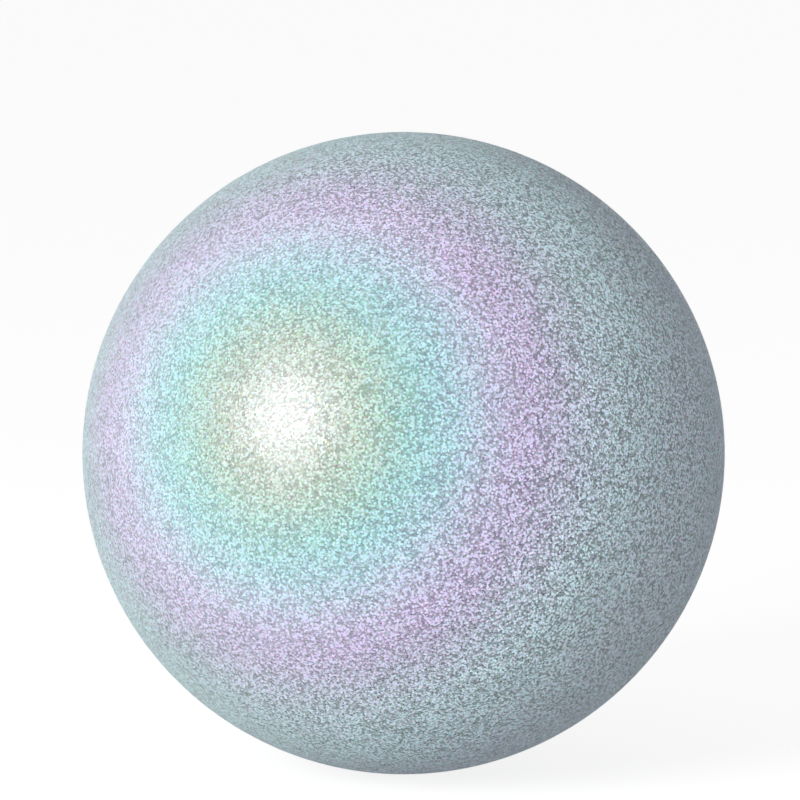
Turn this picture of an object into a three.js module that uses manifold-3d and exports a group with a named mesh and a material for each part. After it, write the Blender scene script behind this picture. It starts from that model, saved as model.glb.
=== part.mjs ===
// Rhythmic gymnastics ball: a two-layer blown sphere with a moulded valve seat and a pull-out valve plug.
// Millimetres, +Z up. The origin is the ball's centre, and the valve looks along +Y.
import * as THREE from "three";
import { mergeVertices } from "three/addons/utils/BufferGeometryUtils.js";
import Module from "manifold-3d";

// Ball
const ballDiameter = 185;
const glitterThickness = 0.6; // clear outer layer that holds the flakes
const casingWall = 2.7; // soft inner layer that holds the air
const bondGap = 0.1; // bond line between pieces that are fused together

// Valve seat, a flanged soft insert fused into the casing
const boreDiameter = 4.4;
const rimWidth = 1.5; // flat ring around the plug's head, flush with the ball
const rimChamfer = 0.25;
const neckClearance = 0.15; // neck to the hole through both layers, on the radius
const flangeOverhang = 6.5; // flange beyond the neck, on the radius
const flangeThickness = 1.6;
const tubeWall = 2.3;
const tubeLength = 12; // below the flange, inside the ball
const tubeChamfer = 0.6;

// Valve plug, a stopper that pulls out along +Y
const headOverhang = 1.4; // head beyond the bore, on the radius
const headThickness = 1.2;
const headChamfer = 0.25;
const headClearance = 0.25; // head to its counterbore, on the radius
const headSeatGap = 0.1; // under the head
const dimpleDiameter = 2.2; // gate mark in the middle of the head
const dimpleDepth = 0.4;
const notchDiameter = 1.8; // bite out of the head's edge, for the tool that lifts the plug
const stemClearance = 0.45; // plain stem to the bore, on the radius
const ribClearance = 0.06; // sealing rib to the bore, on the radius
const ribCount = 3; // spread evenly along the straight stem
const ribWidth = 1.2; // at its root
const ribCrest = 0.4;
const tipLength = 2.4;
const tipTaper = 0.75; // on the radius
const tipSetback = 2; // tip short of the tube's inner end

// Facets
const ballSegments = 48;
const quarterSteps = 12; // from the ball's equator to either pole
const valveSegments = 32;
const flangeSteps = 3;

// Worked out from the sizes above
const ballRadius = ballDiameter / 2;
const glitterInnerRadius = ballRadius - glitterThickness;
const casingRadius = glitterInnerRadius - bondGap;
const casingInnerRadius = casingRadius - casingWall;
const boreRadius = boreDiameter / 2;
const headRadius = boreRadius + headOverhang;
const counterboreRadius = headRadius + headClearance;
const neckRadius = counterboreRadius + rimWidth;
const holeRadius = neckRadius + neckClearance;
const rimHeight = heightOnSphere(ballRadius, neckRadius); // the rim's edge meets the ball's surface
const tubeRadius = boreRadius + tubeWall;
const flangeTop = casingInnerRadius * Math.cos(halfFacet(casingInnerRadius)) - bondGap;
const flangeUnder = flangeTop - flangeThickness;
const tubeEnd = heightOnSphere(flangeUnder, tubeRadius) - tubeLength;

const wasm = await Module();
wasm.setup();

// A point of a profile, by its distance from the valve's axis and its height along it from the ball's centre.
function at(fromAxis, height) {
  return new THREE.Vector2(fromAxis, height);
}

function heightOnSphere(radius, fromAxis) {
  return Math.sqrt(radius * radius - fromAxis * fromAxis);
}

// Latitude at which a sphere is this far from the valve's axis, on the valve's side.
function latitudeAt(radius, fromAxis) {
  return Math.acos(fromAxis / radius);
}

// Half the angle that one facet of a ball layer spans along a meridian, on the valve's side.
function halfFacet(radius) {
  return latitudeAt(radius, holeRadius) / quarterSteps / 2;
}

// Points along a meridian of a sphere, between two latitudes.
function meridian(radius, fromLatitude, toLatitude, steps) {
  const points = [];
  for (let i = 0; i <= steps; i++) {
    const latitude = fromLatitude + ((toLatitude - fromLatitude) * i) / steps;
    points.push(at(radius * Math.cos(latitude), radius * Math.sin(latitude)));
  }
  return points;
}

function manifoldOf(geometry) {
  const bare = geometry.clone();
  bare.deleteAttribute("normal");
  bare.deleteAttribute("uv");
  const merged = mergeVertices(bare);
  const vertProperties = merged.getAttribute("position").array;
  const triVerts = new Uint32Array(merged.getIndex().array);
  return new wasm.Manifold(new wasm.Mesh({ numProp: 3, vertProperties, triVerts }));
}

function geometryOf(solid) {
  const mesh = solid.getMesh();
  const geometry = new THREE.BufferGeometry();
  geometry.setAttribute("position", new THREE.BufferAttribute(mesh.vertProperties, 3));
  geometry.setIndex(new THREE.BufferAttribute(mesh.triVerts, 1));
  geometry.computeVertexNormals();
  return geometry;
}

// Half a meridian from the pole opposite the valve up to the valve hole, with a facet edge on the equator.
function poleToHole(radius) {
  const farPole = at(0, -radius);
  const farHalf = meridian(radius, -Math.PI / 2, 0, quarterSteps);
  const valveHalf = meridian(radius, 0, latitudeAt(radius, holeRadius), quarterSteps);
  return [farPole, ...farHalf.slice(1), ...valveHalf.slice(1)];
}

// A spherical layer with the round valve hole at its +Y pole.
function ballLayer(outerRadius, innerRadius) {
  const profile = [...poleToHole(outerRadius), ...poleToHole(innerRadius).reverse()];
  return new THREE.LatheGeometry(profile, ballSegments);
}

// The seat: a flush rim, a neck through both layers, a flange under the casing and a tube into the ball.
function valveSeat() {
  const flangeRadius = neckRadius + flangeOverhang;
  const counterboreFloor = rimHeight - headThickness - headSeatGap;
  const underEdge = latitudeAt(flangeUnder, flangeRadius);
  const topEdge = latitudeAt(flangeTop, flangeRadius);
  const profile = [
    at(boreRadius, tubeEnd),
    at(tubeRadius - tubeChamfer, tubeEnd),
    at(tubeRadius, tubeEnd + tubeChamfer),
    ...meridian(flangeUnder, latitudeAt(flangeUnder, tubeRadius), underEdge, flangeSteps),
    ...meridian(flangeTop, topEdge, latitudeAt(flangeTop, neckRadius), flangeSteps),
    at(neckRadius, rimHeight - rimChamfer),
    at(neckRadius - rimChamfer, rimHeight),
    at(counterboreRadius, rimHeight),
    at(counterboreRadius, counterboreFloor),
    at(boreRadius, counterboreFloor),
    at(boreRadius, tubeEnd),
  ];
  return new THREE.LatheGeometry(profile, valveSegments);
}

// The plug: a flush head with a dimple and a tool notch, and a stem with sealing ribs and a tapered tip.
function valvePlug() {
  const underHead = rimHeight - headThickness;
  const stemRadius = boreRadius - stemClearance;
  const ribRadius = boreRadius - ribClearance;
  const tipEnd = tubeEnd + tipSetback;
  const tipStart = tipEnd + tipLength;
  const ribPitch = (underHead - tipStart) / (ribCount + 1);
  const ribs = [];
  for (let i = 1; i <= ribCount; i++) {
    const middle = tipStart + i * ribPitch;
    ribs.push(at(stemRadius, middle - ribWidth / 2));
    ribs.push(at(ribRadius, middle - ribCrest / 2));
    ribs.push(at(ribRadius, middle + ribCrest / 2));
    ribs.push(at(stemRadius, middle + ribWidth / 2));
  }
  const profile = [
    at(0, tipEnd),
    at(stemRadius - tipTaper, tipEnd),
    at(stemRadius, tipStart),
    ...ribs,
    at(stemRadius, underHead),
    at(headRadius, underHead),
    at(headRadius, rimHeight - headChamfer),
    at(headRadius - headChamfer, rimHeight),
    at(dimpleDiameter / 2, rimHeight),
    at(0, rimHeight - dimpleDepth),
  ];
  const turned = new THREE.LatheGeometry(profile, valveSegments);
  const notchRadius = notchDiameter / 2;
  const notchReach = headThickness + headSeatGap; // just past the head's underside
  const notch = new THREE.CylinderGeometry(notchRadius, notchRadius, 2 * notchReach, valveSegments);
  notch.translate(0, rimHeight, headRadius);
  return geometryOf(manifoldOf(turned).subtract(manifoldOf(notch)));
}

function piece(name, geometry, look) {
  const mesh = new THREE.Mesh(geometry, new THREE.MeshStandardMaterial(look));
  mesh.name = name;
  return mesh;
}

const glitterLook = { color: 0xa9bcba, roughness: 0.35, metalness: 0.8 };
const casingLook = { color: 0x9aa5a6, roughness: 0.6, metalness: 0 };
const seatLook = { color: 0xd3d8d8, roughness: 0.5, metalness: 0 };
const plugLook = { color: 0xeceeee, roughness: 0.35, metalness: 0 };

const ball = new THREE.Group();
ball.name = "rhythmic_gymnastics_ball";
ball.add(piece("glitter_skin", ballLayer(ballRadius, glitterInnerRadius), glitterLook));
ball.add(piece("inner_casing", ballLayer(casingRadius, casingInnerRadius), casingLook));
ball.add(piece("valve_seat", valveSeat(), seatLook));
ball.add(piece("valve_plug", valvePlug(), plugLook));

export default ball;
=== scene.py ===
import bpy
import math
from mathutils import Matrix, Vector


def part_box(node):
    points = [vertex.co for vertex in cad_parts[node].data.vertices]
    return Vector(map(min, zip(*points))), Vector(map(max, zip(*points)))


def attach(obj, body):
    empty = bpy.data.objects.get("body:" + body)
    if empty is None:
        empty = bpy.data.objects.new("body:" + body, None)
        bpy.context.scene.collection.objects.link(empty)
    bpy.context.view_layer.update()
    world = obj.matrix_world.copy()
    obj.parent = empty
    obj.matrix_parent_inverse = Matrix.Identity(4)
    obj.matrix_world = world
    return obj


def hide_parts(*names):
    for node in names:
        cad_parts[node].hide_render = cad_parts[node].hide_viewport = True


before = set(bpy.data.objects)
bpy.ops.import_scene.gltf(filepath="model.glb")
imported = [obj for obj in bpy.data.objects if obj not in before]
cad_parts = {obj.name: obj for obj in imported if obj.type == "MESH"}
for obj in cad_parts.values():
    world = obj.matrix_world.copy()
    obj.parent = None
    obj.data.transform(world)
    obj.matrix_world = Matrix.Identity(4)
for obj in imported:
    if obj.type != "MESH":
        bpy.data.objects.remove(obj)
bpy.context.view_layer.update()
mm = 0.001
weld = 0.001 * mm
sharpAngle = math.radians(30)  # edges that are rounded
smoothAngle = math.radians(40)  # edges that stay crisp in the shading
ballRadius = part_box("glitter_skin")[1].x
print("frame loaded, ball radius", round(ballRadius, 5))


def deselectAll():
    if bpy.context.object and bpy.context.object.mode != "OBJECT":
        bpy.ops.object.mode_set(mode="OBJECT")
    bpy.ops.object.select_all(action="DESELECT")


def editAll():
    bpy.ops.object.mode_set(mode="EDIT")
    bpy.ops.mesh.select_mode(type="VERT")
    bpy.ops.mesh.select_all(action="SELECT")


def tidyMesh():
    bpy.ops.mesh.select_all(action="SELECT")
    bpy.ops.mesh.remove_doubles(threshold=weld)
    bpy.ops.mesh.normals_make_consistent(inside=False)
    bpy.ops.object.mode_set(mode="OBJECT")


def applyModifier(piece, kind, settings):
    modifier = piece.modifiers.new(kind.lower(), kind)
    for name, value in settings.items():
        setattr(modifier, name, value)
    bpy.ops.object.modifier_apply(modifier=modifier.name)


def roundEdges(piece, width, steps, angle):
    applyModifier(piece, "BEVEL", {"width": width * mm, "segments": steps, "angle_limit": angle})


def turned(name, rings, sides, tip=False):
    # a piece turned about the valve's axis, from rings of (radius, height) in millimetres
    deselectAll()
    radius, height = rings[0]
    bpy.ops.mesh.primitive_circle_add(vertices=sides, radius=radius * mm, location=(0, 0, height * mm))
    piece = bpy.context.active_object
    piece.name = name
    bpy.ops.object.transform_apply(location=True, rotation=True, scale=True)
    editAll()
    for nextRadius, nextHeight in rings[1:]:
        bpy.ops.mesh.extrude_region_move(TRANSFORM_OT_translate={"value": (0, 0, (nextHeight - height) * mm)})
        ratio = nextRadius / radius
        bpy.ops.transform.resize(value=(ratio, ratio, 1), center_override=(0, 0, nextHeight * mm))
        radius, height = nextRadius, nextHeight
    if tip:  # both ends are closed
        bpy.ops.mesh.edge_face_add()
        bpy.ops.mesh.select_all(action="DESELECT")
        bpy.ops.mesh.select_non_manifold()
        bpy.ops.mesh.edge_face_add()
    tidyMesh()
    bpy.ops.transform.rotate(value=math.pi / 2, orient_axis="X", center_override=(0, 0, 0))
    bpy.ops.object.transform_apply(location=True, rotation=True, scale=True)
    return piece


def heightOn(sphere, radius):
    return math.sqrt(sphere * sphere - radius * radius)


def arcRings(sphere, fromRadius, toRadius, steps):
    radii = [fromRadius + (toRadius - fromRadius) * i / steps for i in range(steps + 1)]
    return [(radius, heightOn(sphere, radius)) for radius in radii]


class Wire:  # a shader socket that takes part in sums
    def __init__(self, tree, socket=None):
        self.tree = tree
        self.socket = socket

    def node(self, kind, settings=None, sockets=None):
        made = self.tree.nodes.new("ShaderNode" + kind)
        for name, value in (settings or {}).items():
            if name == "stops":
                setStops(made.color_ramp, value)
            else:
                setattr(made, name, value)
        for name, value in (sockets or {}).items():
            if isinstance(value, Wire):
                self.tree.links.new(value.socket, made.inputs[name])
            else:
                made.inputs[name].default_value = value
        shown = [s for s in made.outputs if s.enabled]
        return Wire(self.tree, shown[0] if shown else None)

    def out(self, name):
        return Wire(self.tree, self.socket.node.outputs[name])

    def maths(self, operation, first, second=0.0):
        return self.node("Math", {"operation": operation}, {0: first, 1: second})

    def vector(self, operation, first, second=(0.0, 0.0, 0.0)):
        return self.node("VectorMath", {"operation": operation}, {0: first, 1: second})

    def stretch(self, vector, amount):
        return self.node("VectorMath", {"operation": "SCALE"}, {0: vector, "Scale": amount})

    def mix(self, amount, first, second):
        return self.node("Mix", {"data_type": "RGBA"}, {0: amount, 6: first, 7: second})

    def within(self, value, span):  # 0 at the start of the span, 1 at its end
        return self.node("MapRange", None, {"Value": value, "From Min": span[0], "From Max": span[1]})

    def __add__(self, other):
        return self.maths("ADD", self, other)

    def __radd__(self, other):
        return self.maths("ADD", other, self)

    def __sub__(self, other):
        return self.maths("SUBTRACT", self, other)

    def __rsub__(self, other):
        return self.maths("SUBTRACT", other, self)

    def __mul__(self, other):
        return self.maths("MULTIPLY", self, other)

    def __rmul__(self, other):
        return self.maths("MULTIPLY", other, self)


def setStops(ramp, stops):
    while len(ramp.elements) < len(stops):
        ramp.elements.new(0.5)
    for element, (place, colour) in zip(ramp.elements, stops):
        element.position = place
        element.color = (*colour, 1.0)


def newFinish(name):
    material = bpy.data.materials.new(name)
    material.use_nodes = True
    material.node_tree.nodes.clear()
    return material, Wire(material.node_tree)


def closeFinish(start, sockets):
    shader = start.node("BsdfPrincipled", None, sockets)
    start.node("OutputMaterial", None, {"Surface": shader})


# glitter skin, sizes in millimetres
skinShape = {
    "segments": 192,
    "rings": 96,
    "hole": 5.55,
    "wall": 0.6,
    "lip": 0.18,
    "lipSteps": 3,
    "lipAngle": math.radians(50),
}
glitter = {
    "grainSize": 0.62,
    "dome": 1.4,  # how steep a grain's flanks are
    "ownLean": 0.5,  # how far a whole grain leans
    "flakeSize": 0.03,
    "tilt": math.radians(61),  # furthest that a flake leans from its grain
    "tiltBias": 0.65,
    "flatShare": 0.02,  # flakes that lie flat on their grain
    "filmSpread": math.radians(7),  # how far the film's colour varies from grain to grain
    "darkest": 0.65,  # shade of the darkest grain
    "steep": (math.radians(43), math.radians(51)),  # lean at which flakes begin to be hidden
    "full": (0.2, 0.6),  # luck from which a grain shows its steep flakes
    "paintedValleyShade": (0.43, 0.83),  # way out from a grain's middle at which they stop, a painted shade for the valleys between grains
    "roughness": 0.3,
    "edge": (0.15, 0.15, 0.15, 1.0),
    "sheen": 0.5,
    "sheenRoughness": 0.3,
    "sheenTint": (0.8, 1.0, 0.95, 1.0),
    "coat": 0.05,
    "coatIor": 3.0,
    "coatRoughness": 0.27,
    "stops": [  # angle between a flake and the ball's surface, in degrees, and the flake's colour
        (0, (0.95, 0.95, 0.95)),
        (8, (0.95, 0.8, 0.75)),
        (13, (0.95, 0.8, 0.25)),
        (19, (0.3, 0.65, 0.15)),
        (25, (0.0, 0.75, 0.8)),
        (31, (0.2, 0.95, 0.95)),
        (37, (0.85, 0.8, 0.95)),
        (43, (0.95, 0.05, 0.95)),
        (51, (0.9, 0.3, 0.9)),
        (60, (0.6, 0.9, 0.85)),
        (70, (0.4, 0.95, 0.8)),
    ],
}
middleGrey = (0.5, 0.5, 0.5)


def glitterFinish():
    material, start = newFinish("glitter_film")
    place = start.node("TexCoord").out("Object")
    upright = start.vector("NORMALIZE", place)

    def cells(size):
        return start.node("TexVoronoi", {"feature": "F1"}, {"Vector": place, "Scale": 1 / (size * mm)})

    def luckOf(cell):
        return start.node("TexWhiteNoise", {"noise_dimensions": "3D"}, {"Vector": cell.out("Position")})

    def across(vector, axis):
        along = start.vector("DOT_PRODUCT", vector, axis).out("Value")
        return start.vector("SUBTRACT", vector, start.stretch(axis, along))

    # each grain is a small dome with a lean of its own
    grains = cells(glitter["grainSize"])
    fromMiddle = start.vector("SUBTRACT", place, grains.out("Position"))
    flank = start.stretch(fromMiddle, glitter["dome"] / (glitter["grainSize"] * mm))
    ownLean = start.stretch(start.vector("SUBTRACT", grains.out("Color"), middleGrey), glitter["ownLean"])
    relief = across(start.vector("ADD", flank, ownLean), upright)
    own = start.node("SeparateColor", None, {"Color": luckOf(grains).out("Color")})
    grainUp = start.vector("NORMALIZE", start.vector("ADD", upright, relief))

    # flakes lean every way round the grain's own direction
    flakes = cells(glitter["flakeSize"])
    raised = start.maths("MAXIMUM", luckOf(flakes) - glitter["flatShare"], 0.0)
    cosine = 1 - start.maths("POWER", raised, glitter["tiltBias"]) * (1 - math.cos(glitter["tilt"]))
    sine = start.maths("SINE", start.maths("ARCCOSINE", cosine))
    loose = start.vector("SUBTRACT", flakes.out("Color"), middleGrey)
    lean = start.stretch(start.vector("NORMALIZE", across(loose, grainUp)), sine)
    facing = start.vector("ADD", start.stretch(grainUp, cosine), lean)
    turnedOut = start.node(
        "VectorTransform",
        {"vector_type": "NORMAL", "convert_from": "OBJECT", "convert_to": "WORLD"},
        {"Vector": facing},
    )

    # a flake's colour follows its lean from the ball's surface
    angle = start.maths("ARCCOSINE", start.vector("DOT_PRODUCT", facing, upright).out("Value"))
    angle = angle + glitter["filmSpread"] * (own.out("Red") - 0.5)
    widest = math.radians(glitter["stops"][-1][0])
    stops = [(math.radians(tilt) / widest, colour) for tilt, colour in glitter["stops"]]
    flakeColour = start.node("ValToRGB", {"stops": stops}, {"Fac": angle * (1 / widest)})

    # steep flakes show only in the middles of full grains; towards a grain's edge they darken, a painted
    # shade for the valleys between grains
    paintedValleyShade = start.within(grains.out("Distance"), glitter["paintedValleyShade"])
    steep = start.within(angle, glitter["steep"])
    full = start.within(own.out("Green"), glitter["full"])
    # share of steep flakes hidden: at random per grain, and by the painted valley shade near the grain's edge
    sparseAndValleyShade = 1 - full * (1 - paintedValleyShade)
    shade = (glitter["darkest"] + (1 - glitter["darkest"]) * own.out("Green")) * (1 - steep * sparseAndValleyShade)
    closeFinish(
        start,
        {
            "Base Color": start.stretch(flakeColour, shade),
            "Metallic": 1.0,
            "Roughness": glitter["roughness"],
            "Specular Tint": glitter["edge"],
            "Sheen Weight": glitter["sheen"],
            "Sheen Roughness": glitter["sheenRoughness"],
            "Sheen Tint": glitter["sheenTint"],
            "Normal": turnedOut,
            "Coat Weight": glitter["coat"],
            "Coat Roughness": glitter["coatRoughness"],
            "Coat IOR": glitter["coatIor"],
        },
    )
    return material


def makeSkin():
    deselectAll()
    bpy.ops.mesh.primitive_uv_sphere_add(
        segments=skinShape["segments"],
        ring_count=skinShape["rings"],
        radius=ballRadius,
        rotation=(-math.pi / 2, 0, 0),
    )
    skin = bpy.context.active_object
    skin.name = "glitter_ball_skin"
    bpy.ops.object.transform_apply(location=True, rotation=True, scale=True)
    editAll()
    cut = heightOn(ballRadius, skinShape["hole"] * mm)
    bpy.ops.mesh.bisect(plane_co=(0, cut, 0), plane_no=(0, 1, 0), clear_outer=True)
    tidyMesh()
    applyModifier(skin, "SOLIDIFY", {"thickness": skinShape["wall"] * mm, "offset": -1})
    roundEdges(skin, skinShape["lip"], skinShape["lipSteps"], skinShape["lipAngle"])
    bpy.ops.object.shade_smooth()
    skin.data.materials.append(glitterFinish())
    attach(skin, "ball")
    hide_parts("glitter_skin")


makeSkin()
print("skin made")

# moulded rubber and plastic, for the valve and the casing
moulded = {
    "cloudScale": 260.0,
    "cloudDetail": 5.0,
    "cloudRoughness": 0.6,
    "gritScale": 5200.0,
    "gritDetail": 3.0,
    "gritStrength": 0.25,
    "gritHeight": 0.04,
    "roughnessSpread": 0.16,
}


def mouldedFinish(name, look):
    material, start = newFinish(name)
    place = start.node("TexCoord").out("Object")
    cloud = start.node(
        "TexNoise",
        None,
        {
            "Vector": place,
            "Scale": moulded["cloudScale"],
            "Detail": moulded["cloudDetail"],
            "Roughness": moulded["cloudRoughness"],
        },
    )
    grit = start.node(
        "TexNoise",
        None,
        {"Vector": place, "Scale": moulded["gritScale"], "Detail": moulded["gritDetail"]},
    )
    bump = start.node(
        "Bump",
        None,
        {"Strength": moulded["gritStrength"], "Distance": moulded["gritHeight"] * mm, "Height": grit},
    )
    spread = moulded["roughnessSpread"]
    closeFinish(
        start,
        {
            "Base Color": start.mix(cloud, (*look["shadeColour"], 1), (*look["colour"], 1)),
            "Roughness": look["roughness"] - spread / 2 + spread * grit,
            "Normal": bump,
        },
    )
    return material


# valve seat, sizes in millimetres
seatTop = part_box("valve_seat")[1].y / mm
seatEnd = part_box("valve_seat")[0].y / mm
seat = {
    "bore": 2.2,
    "counterbore": 3.85,
    "counterboreDepth": 1.3,
    "neck": 5.35,
    "flange": 11.85,
    "flangeTop": 88.82,
    "flangeUnder": 87.22,
    "flangeSteps": 4,
    "tube": 4.5,
    "tubeChamfer": 0.6,
    "sides": 96,
    "round": 0.2,
    "roundSteps": 3,
    "colour": (0.66, 0.69, 0.69),
    "shadeColour": (0.55, 0.58, 0.58),
    "roughness": 0.5,
}


def makeSeat():
    floor = seatTop - seat["counterboreDepth"]
    rings = [
        (seat["bore"], seatEnd),
        (seat["tube"] - seat["tubeChamfer"], seatEnd),
        (seat["tube"], seatEnd + seat["tubeChamfer"]),
        *arcRings(seat["flangeUnder"], seat["tube"], seat["flange"], seat["flangeSteps"]),
        *arcRings(seat["flangeTop"], seat["flange"], seat["neck"], seat["flangeSteps"]),
        (seat["neck"], seatTop),
        (seat["counterbore"], seatTop),
        (seat["counterbore"], floor),
        (seat["bore"], floor),
        (seat["bore"], seatEnd),
    ]
    piece = turned("moulded_valve_seat", rings, seat["sides"])
    roundEdges(piece, seat["round"], seat["roundSteps"], sharpAngle)
    bpy.ops.object.shade_smooth_by_angle(angle=smoothAngle)
    piece.data.materials.append(mouldedFinish("soft_seat", seat))
    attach(piece, "ball")
    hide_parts("valve_seat")


# valve plug, sizes in millimetres
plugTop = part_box("valve_plug")[1].y / mm
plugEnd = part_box("valve_plug")[0].y / mm
plug = {
    "head": 3.6,
    "headHeight": 1.2,
    "dimple": 1.1,
    "dimpleDepth": 0.4,
    "dimpleRings": [(0.6, 0.75), (0.2, 1.0)],  # shares of the dimple's radius and depth
    "notch": 0.9,
    "notchReach": 1.32,
    "stem": 1.75,
    "rib": 2.14,
    "ribs": 3,
    "ribRoot": 1.2,
    "ribCrest": 0.4,
    "tip": 1.0,
    "tipLength": 2.4,
    "sides": 96,
    "round": 0.12,
    "roundSteps": 3,
    "colour": (0.84, 0.86, 0.86),
    "shadeColour": (0.74, 0.76, 0.75),
    "roughness": 0.35,
}


def plugRings():
    under = plugTop - plug["headHeight"]
    stemEnd = plugEnd + plug["tipLength"]
    pitch = (under - stemEnd) / (plug["ribs"] + 1)
    rings = [(plug["tip"], plugEnd), (plug["stem"], stemEnd)]
    for i in range(1, plug["ribs"] + 1):
        middle = stemEnd + i * pitch
        rings.append((plug["stem"], middle - plug["ribRoot"] / 2))
        rings.append((plug["rib"], middle - plug["ribCrest"] / 2))
        rings.append((plug["rib"], middle + plug["ribCrest"] / 2))
        rings.append((plug["stem"], middle + plug["ribRoot"] / 2))
    rings += [
        (plug["stem"], under),
        (plug["head"], under),
        (plug["head"], plugTop),
        (plug["dimple"], plugTop),
    ]
    for width, depth in plug["dimpleRings"]:
        rings.append((width * plug["dimple"], plugTop - depth * plug["dimpleDepth"]))
    return rings


def cutNotch(piece):
    deselectAll()
    bpy.ops.mesh.primitive_cylinder_add(
        vertices=plug["sides"],
        radius=plug["notch"] * mm,
        depth=2 * plug["notchReach"] * mm,
        location=(0, plugTop * mm, plug["head"] * mm),
        rotation=(math.pi / 2, 0, 0),
    )
    cutter = bpy.context.active_object
    deselectAll()
    piece.select_set(True)
    bpy.context.view_layer.objects.active = piece
    applyModifier(piece, "BOOLEAN", {"operation": "DIFFERENCE", "object": cutter, "solver": "EXACT"})
    bpy.data.objects.remove(cutter)


def makePlug():
    piece = turned("ribbed_valve_plug", plugRings(), plug["sides"], tip=True)
    cutNotch(piece)
    roundEdges(piece, plug["round"], plug["roundSteps"], sharpAngle)
    bpy.ops.object.shade_smooth_by_angle(angle=smoothAngle)
    piece.data.materials.append(mouldedFinish("satin_plug", plug))
    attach(piece, "plug")
    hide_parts("valve_plug")


makeSeat()
makePlug()
print("valve made")

# casing, inside the skin
casing = {"colour": (0.30, 0.35, 0.35), "shadeColour": (0.22, 0.26, 0.26), "roughness": 0.65}
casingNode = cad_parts["inner_casing"]
casingNode.data.materials.clear()
casingNode.data.materials.append(mouldedFinish("casing_rubber", casing))
print("casing dressed")

# camera, floor and light
photo = {
    "frame": 800,  # pixels, as are the ball's centre and radius
    "centre": (403.6, 452.9),
    "radius": 321.2,
    "distance": 1.6,
    "elevation": 8,
    "sensor": 36,
    "farthest": 100,
}
keyLamp = {
    "left": 40.6,  # degrees from the camera's direction
    "above": 11.4,
    "distance": 1.0,
    "radius": 0.24,
    "power": 21,
    "colour": (1.0, 1.0, 1.0),
}
surround = {
    "world": 0.85,
    "backdrop": 1.0,
    "white": (1, 1, 1, 1),
    "floor": (0.86, 0.86, 0.86, 1),
    "floorWhite": 0.85,
    "floorSize": 14,
}


def makeCamera():
    rise = math.radians(photo["elevation"])
    towards = Vector((0, -math.cos(rise), math.sin(rise)))
    up = Vector((0, math.sin(rise), math.cos(rise)))
    right = Vector((1, 0, 0))
    data = bpy.data.cameras.new("photo_camera")
    camera = bpy.data.objects.new("photo_camera", data)
    bpy.context.scene.collection.objects.link(camera)
    data.sensor_width = photo["sensor"]
    halfAngle = math.asin(ballRadius / photo["distance"])
    data.lens = photo["radius"] / math.tan(halfAngle) * data.sensor_width / photo["frame"]
    perPixel = photo["distance"] * math.tan(halfAngle) / photo["radius"]
    aside = (photo["frame"] / 2 - photo["centre"][0]) * perPixel
    above = (photo["centre"][1] - photo["frame"] / 2) * perPixel
    aim = right * aside + up * above
    camera.location = towards * photo["distance"]
    camera.rotation_euler = (aim - camera.location).to_track_quat("-Z", "Y").to_euler()
    data.clip_end = photo["farthest"]
    bpy.context.scene.camera = camera
    return towards, up, right


def makeLamp(name, lamp, axes):
    towards, up, right = axes
    left, above = math.radians(lamp["left"]), math.radians(lamp["above"])
    direction = (towards * math.cos(left) - right * math.sin(left)) * math.cos(above) + up * math.sin(above)
    data = bpy.data.lights.new(name, "AREA")
    data.shape = "DISK"
    data.size = 2 * lamp["radius"]
    data.energy = lamp["power"]
    data.color = lamp["colour"]
    made = bpy.data.objects.new(name, data)
    bpy.context.scene.collection.objects.link(made)
    made.location = direction * lamp["distance"]
    made.rotation_euler = direction.to_track_quat("Z", "Y").to_euler()


def seenRays(start):
    rays = start.node("LightPath")
    seen = start.maths("MAXIMUM", rays.out("Is Camera Ray"), rays.out("Is Glossy Ray"))
    return start.maths("MAXIMUM", seen, rays.out("Is Transmission Ray"))


def makeFloor():
    deselectAll()
    bpy.ops.mesh.primitive_plane_add(size=surround["floorSize"], location=(0, 0, -ballRadius))
    floor = bpy.context.active_object
    floor.name = "floor"
    material, start = newFinish("pale_floor")
    matt = start.node("BsdfDiffuse", None, {"Color": surround["floor"]})
    white = start.node("Emission", None, {"Color": surround["white"], "Strength": surround["backdrop"]})
    both = start.node("MixShader", None, {0: seenRays(start) * surround["floorWhite"], 1: matt, 2: white})
    start.node("OutputMaterial", None, {"Surface": both})
    floor.data.materials.append(material)


def makeWorld():
    world = bpy.data.worlds.new("studio")
    bpy.context.scene.world = world
    world.use_nodes = True
    world.node_tree.nodes.clear()
    start = Wire(world.node_tree)
    strength = surround["world"] + (surround["backdrop"] - surround["world"]) * seenRays(start)
    pale = start.node("Background", None, {"Color": surround["white"], "Strength": strength})
    start.node("OutputWorld", None, {"Surface": pale})


makeLamp("key_softbox", keyLamp, makeCamera())
makeFloor()
makeWorld()
bpy.context.scene.view_settings.view_transform = "Standard"
print("stage made")
